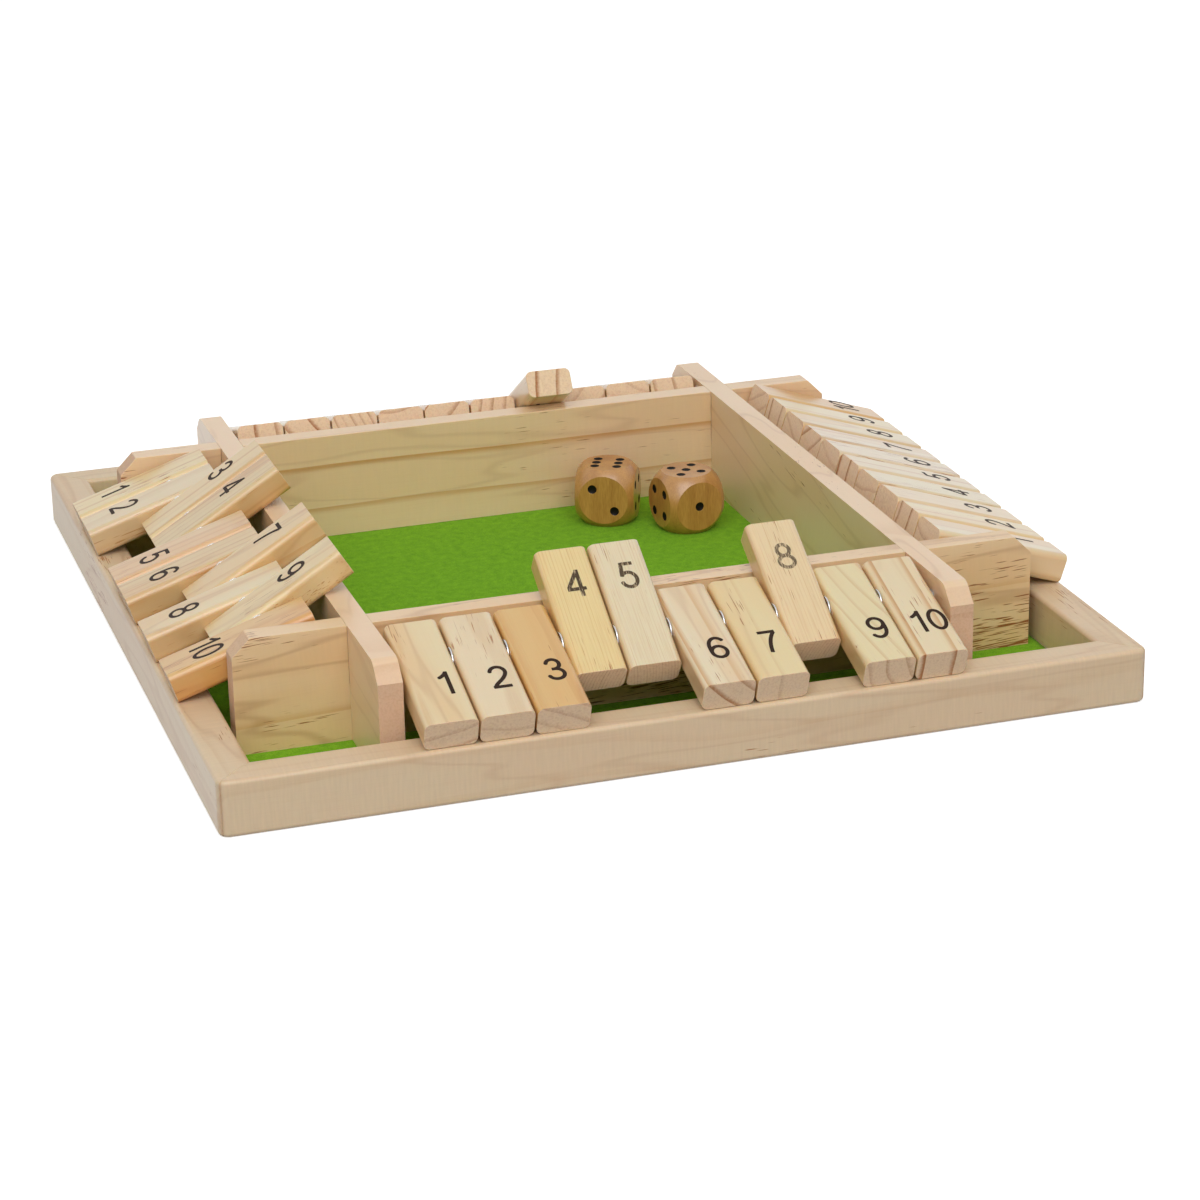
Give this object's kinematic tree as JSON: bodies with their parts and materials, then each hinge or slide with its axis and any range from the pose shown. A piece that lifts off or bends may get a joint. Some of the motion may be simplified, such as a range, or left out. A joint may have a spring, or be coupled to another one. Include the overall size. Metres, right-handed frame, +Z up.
{
  "type": "shut the box game",
  "caption": "Square wooden shut the box game: a felted dice well inside a shallow mitred tray, with a row of number tiles hinged on a steel rod along each side, and loose wooden dice.",
  "frame": {"origin": "middle of the tray's underside, on the table", "axes": "+Z up; the front row of tiles is at -Y and is read from there, so its numbers rise towards +X"},
  "size_m": [0.307, 0.307, 0.056],
  "materials": {
    "rail_pine": "sanded, clear matt lacquer",
    "wall_pine": "sanded, clear matt lacquer",
    "tile_pine": "planed and sanded, clear satin lacquer, printed numbers",
    "base_plywood": "unfinished thin plywood",
    "green_felt": "pressed felt",
    "rod_steel": "drawn bright",
    "washer_steel": "bright zinc plated",
    "die_beech": "tumbled smooth, waxed, black painted pips"
  },
  "bodies": {
    "board": {"rail_front": "rail_pine", "rail_right": "rail_pine", "rail_back": "rail_pine", "rail_left": "rail_pine", "base_panel": "base_plywood", "green_felt": "green_felt", "partition_front": "wall_pine", "partition_right": "wall_pine", "partition_back": "wall_pine", "partition_left": "wall_pine", "rod_front": "rod_steel", "rod_right": "rod_steel", "rod_back": "rod_steel", "rod_left": "rod_steel", "washers_front": "washer_steel", "washers_right": "washer_steel", "washers_back": "washer_steel", "washers_left": "washer_steel"},
    "tile_front_1": {"tile_front_1": "tile_pine"},
    "tile_front_2": {"tile_front_2": "tile_pine"},
    "tile_front_3": {"tile_front_3": "tile_pine"},
    "tile_front_4": {"tile_front_4": "tile_pine"},
    "tile_front_5": {"tile_front_5": "tile_pine"},
    "tile_front_6": {"tile_front_6": "tile_pine"},
    "tile_front_7": {"tile_front_7": "tile_pine"},
    "tile_front_8": {"tile_front_8": "tile_pine"},
    "tile_front_9": {"tile_front_9": "tile_pine"},
    "tile_front_10": {"tile_front_10": "tile_pine"},
    "tile_right_1": {"tile_right_1": "tile_pine"},
    "tile_right_2": {"tile_right_2": "tile_pine"},
    "tile_right_3": {"tile_right_3": "tile_pine"},
    "tile_right_4": {"tile_right_4": "tile_pine"},
    "tile_right_5": {"tile_right_5": "tile_pine"},
    "tile_right_6": {"tile_right_6": "tile_pine"},
    "tile_right_7": {"tile_right_7": "tile_pine"},
    "tile_right_8": {"tile_right_8": "tile_pine"},
    "tile_right_9": {"tile_right_9": "tile_pine"},
    "tile_right_10": {"tile_right_10": "tile_pine"},
    "tile_back_1": {"tile_back_1": "tile_pine"},
    "tile_back_2": {"tile_back_2": "tile_pine"},
    "tile_back_3": {"tile_back_3": "tile_pine"},
    "tile_back_4": {"tile_back_4": "tile_pine"},
    "tile_back_5": {"tile_back_5": "tile_pine"},
    "tile_back_6": {"tile_back_6": "tile_pine"},
    "tile_back_7": {"tile_back_7": "tile_pine"},
    "tile_back_8": {"tile_back_8": "tile_pine"},
    "tile_back_9": {"tile_back_9": "tile_pine"},
    "tile_back_10": {"tile_back_10": "tile_pine"},
    "tile_left_1": {"tile_left_1": "tile_pine"},
    "tile_left_2": {"tile_left_2": "tile_pine"},
    "tile_left_3": {"tile_left_3": "tile_pine"},
    "tile_left_4": {"tile_left_4": "tile_pine"},
    "tile_left_5": {"tile_left_5": "tile_pine"},
    "tile_left_6": {"tile_left_6": "tile_pine"},
    "tile_left_7": {"tile_left_7": "tile_pine"},
    "tile_left_8": {"tile_left_8": "tile_pine"},
    "tile_left_9": {"tile_left_9": "tile_pine"},
    "tile_left_10": {"tile_left_10": "tile_pine"},
    "die_left": {"die_left": "die_beech"},
    "die_right": {"die_right": "die_beech"}
  },
  "joints": [
    {"name": "flip_front_1", "type": "hinge", "parent": "board", "child": "tile_front_1", "pos_m": [-0.07995, -0.1196, 0.0338], "axis": [-1, 0, 0], "range_deg": [0, 166.06]},
    {"name": "flip_front_2", "type": "hinge", "parent": "board", "child": "tile_front_2", "pos_m": [-0.06218, -0.1196, 0.0338], "axis": [-1, 0, 0], "range_deg": [0, 166.06]},
    {"name": "flip_front_3", "type": "hinge", "parent": "board", "child": "tile_front_3", "pos_m": [-0.04442, -0.1196, 0.0338], "axis": [-1, 0, 0], "range_deg": [0, 166.06]},
    {"name": "flip_front_4", "type": "hinge", "parent": "board", "child": "tile_front_4", "pos_m": [-0.02665, -0.1196, 0.0338], "axis": [-1, 0, 0], "range_deg": [-166.06, 0]},
    {"name": "flip_front_5", "type": "hinge", "parent": "board", "child": "tile_front_5", "pos_m": [-0.00888, -0.1196, 0.0338], "axis": [-1, 0, 0], "range_deg": [-166.06, 0]},
    {"name": "flip_front_6", "type": "hinge", "parent": "board", "child": "tile_front_6", "pos_m": [0.00888, -0.1196, 0.0338], "axis": [-1, 0, 0], "range_deg": [0, 166.06]},
    {"name": "flip_front_7", "type": "hinge", "parent": "board", "child": "tile_front_7", "pos_m": [0.02665, -0.1196, 0.0338], "axis": [-1, 0, 0], "range_deg": [0, 166.06]},
    {"name": "flip_front_8", "type": "hinge", "parent": "board", "child": "tile_front_8", "pos_m": [0.04442, -0.1196, 0.0338], "axis": [-1, 0, 0], "range_deg": [-166.06, 0]},
    {"name": "flip_front_9", "type": "hinge", "parent": "board", "child": "tile_front_9", "pos_m": [0.06218, -0.1196, 0.0338], "axis": [-1, 0, 0], "range_deg": [0, 166.06]},
    {"name": "flip_front_10", "type": "hinge", "parent": "board", "child": "tile_front_10", "pos_m": [0.07995, -0.1196, 0.0338], "axis": [-1, 0, 0], "range_deg": [0, 166.06]},
    {"name": "flip_right_1", "type": "hinge", "parent": "board", "child": "tile_right_1", "pos_m": [0.1196, -0.07995, 0.0338], "axis": [0, -1, 0], "range_deg": [0, 166.06]},
    {"name": "flip_right_2", "type": "hinge", "parent": "board", "child": "tile_right_2", "pos_m": [0.1196, -0.06218, 0.0338], "axis": [0, -1, 0], "range_deg": [0, 166.06]},
    {"name": "flip_right_3", "type": "hinge", "parent": "board", "child": "tile_right_3", "pos_m": [0.1196, -0.04442, 0.0338], "axis": [0, -1, 0], "range_deg": [0, 166.06]},
    {"name": "flip_right_4", "type": "hinge", "parent": "board", "child": "tile_right_4", "pos_m": [0.1196, -0.02665, 0.0338], "axis": [0, -1, 0], "range_deg": [0, 166.06]},
    {"name": "flip_right_5", "type": "hinge", "parent": "board", "child": "tile_right_5", "pos_m": [0.1196, -0.00888, 0.0338], "axis": [0, -1, 0], "range_deg": [0, 166.06]},
    {"name": "flip_right_6", "type": "hinge", "parent": "board", "child": "tile_right_6", "pos_m": [0.1196, 0.00888, 0.0338], "axis": [0, -1, 0], "range_deg": [0, 166.06]},
    {"name": "flip_right_7", "type": "hinge", "parent": "board", "child": "tile_right_7", "pos_m": [0.1196, 0.02665, 0.0338], "axis": [0, -1, 0], "range_deg": [0, 166.06]},
    {"name": "flip_right_8", "type": "hinge", "parent": "board", "child": "tile_right_8", "pos_m": [0.1196, 0.04442, 0.0338], "axis": [0, -1, 0], "range_deg": [0, 166.06]},
    {"name": "flip_right_9", "type": "hinge", "parent": "board", "child": "tile_right_9", "pos_m": [0.1196, 0.06218, 0.0338], "axis": [0, -1, 0], "range_deg": [0, 166.06]},
    {"name": "flip_right_10", "type": "hinge", "parent": "board", "child": "tile_right_10", "pos_m": [0.1196, 0.07995, 0.0338], "axis": [0, -1, 0], "range_deg": [0, 166.06]},
    {"name": "flip_back_1", "type": "hinge", "parent": "board", "child": "tile_back_1", "pos_m": [0.07995, 0.1196, 0.0338], "axis": [1, 0, 0], "range_deg": [0, 166.06]},
    {"name": "flip_back_2", "type": "hinge", "parent": "board", "child": "tile_back_2", "pos_m": [0.06218, 0.1196, 0.0338], "axis": [1, 0, 0], "range_deg": [0, 166.06]},
    {"name": "flip_back_3", "type": "hinge", "parent": "board", "child": "tile_back_3", "pos_m": [0.04442, 0.1196, 0.0338], "axis": [1, 0, 0], "range_deg": [0, 166.06]},
    {"name": "flip_back_4", "type": "hinge", "parent": "board", "child": "tile_back_4", "pos_m": [0.02665, 0.1196, 0.0338], "axis": [1, 0, 0], "range_deg": [-166.06, 0]},
    {"name": "flip_back_5", "type": "hinge", "parent": "board", "child": "tile_back_5", "pos_m": [0.00888, 0.1196, 0.0338], "axis": [1, 0, 0], "range_deg": [0, 166.06]},
    {"name": "flip_back_6", "type": "hinge", "parent": "board", "child": "tile_back_6", "pos_m": [-0.00888, 0.1196, 0.0338], "axis": [1, 0, 0], "range_deg": [0, 166.06]},
    {"name": "flip_back_7", "type": "hinge", "parent": "board", "child": "tile_back_7", "pos_m": [-0.02665, 0.1196, 0.0338], "axis": [1, 0, 0], "range_deg": [0, 166.06]},
    {"name": "flip_back_8", "type": "hinge", "parent": "board", "child": "tile_back_8", "pos_m": [-0.04442, 0.1196, 0.0338], "axis": [1, 0, 0], "range_deg": [0, 166.06]},
    {"name": "flip_back_9", "type": "hinge", "parent": "board", "child": "tile_back_9", "pos_m": [-0.06218, 0.1196, 0.0338], "axis": [1, 0, 0], "range_deg": [0, 166.06]},
    {"name": "flip_back_10", "type": "hinge", "parent": "board", "child": "tile_back_10", "pos_m": [-0.07995, 0.1196, 0.0338], "axis": [1, 0, 0], "range_deg": [0, 166.06]},
    {"name": "flip_left_1", "type": "hinge", "parent": "board", "child": "tile_left_1", "pos_m": [-0.1196, 0.07995, 0.0338], "axis": [0, 1, 0], "range_deg": [0, 166.06]},
    {"name": "flip_left_2", "type": "hinge", "parent": "board", "child": "tile_left_2", "pos_m": [-0.1196, 0.06218, 0.0338], "axis": [0, 1, 0], "range_deg": [0, 166.06]},
    {"name": "flip_left_3", "type": "hinge", "parent": "board", "child": "tile_left_3", "pos_m": [-0.1196, 0.04442, 0.0338], "axis": [0, 1, 0], "range_deg": [-166.06, 0]},
    {"name": "flip_left_4", "type": "hinge", "parent": "board", "child": "tile_left_4", "pos_m": [-0.1196, 0.02665, 0.0338], "axis": [0, 1, 0], "range_deg": [-166.06, 0]},
    {"name": "flip_left_5", "type": "hinge", "parent": "board", "child": "tile_left_5", "pos_m": [-0.1196, 0.00888, 0.0338], "axis": [0, 1, 0], "range_deg": [0, 166.06]},
    {"name": "flip_left_6", "type": "hinge", "parent": "board", "child": "tile_left_6", "pos_m": [-0.1196, -0.00888, 0.0338], "axis": [0, 1, 0], "range_deg": [0, 166.06]},
    {"name": "flip_left_7", "type": "hinge", "parent": "board", "child": "tile_left_7", "pos_m": [-0.1196, -0.02665, 0.0338], "axis": [0, 1, 0], "range_deg": [-166.06, 0]},
    {"name": "flip_left_8", "type": "hinge", "parent": "board", "child": "tile_left_8", "pos_m": [-0.1196, -0.04442, 0.0338], "axis": [0, 1, 0], "range_deg": [0, 166.06]},
    {"name": "flip_left_9", "type": "hinge", "parent": "board", "child": "tile_left_9", "pos_m": [-0.1196, -0.06218, 0.0338], "axis": [0, 1, 0], "range_deg": [-166.06, 0]},
    {"name": "flip_left_10", "type": "hinge", "parent": "board", "child": "tile_left_10", "pos_m": [-0.1196, -0.07995, 0.0338], "axis": [0, 1, 0], "range_deg": [0, 166.06]},
    {"name": "lift_die_left", "type": "slide", "parent": "board", "child": "die_left", "axis": [0, 0, 1], "range_m": [0, 0.06]},
    {"name": "lift_die_right", "type": "slide", "parent": "board", "child": "die_right", "axis": [0, 0, 1], "range_m": [0, 0.06]}
  ]
}
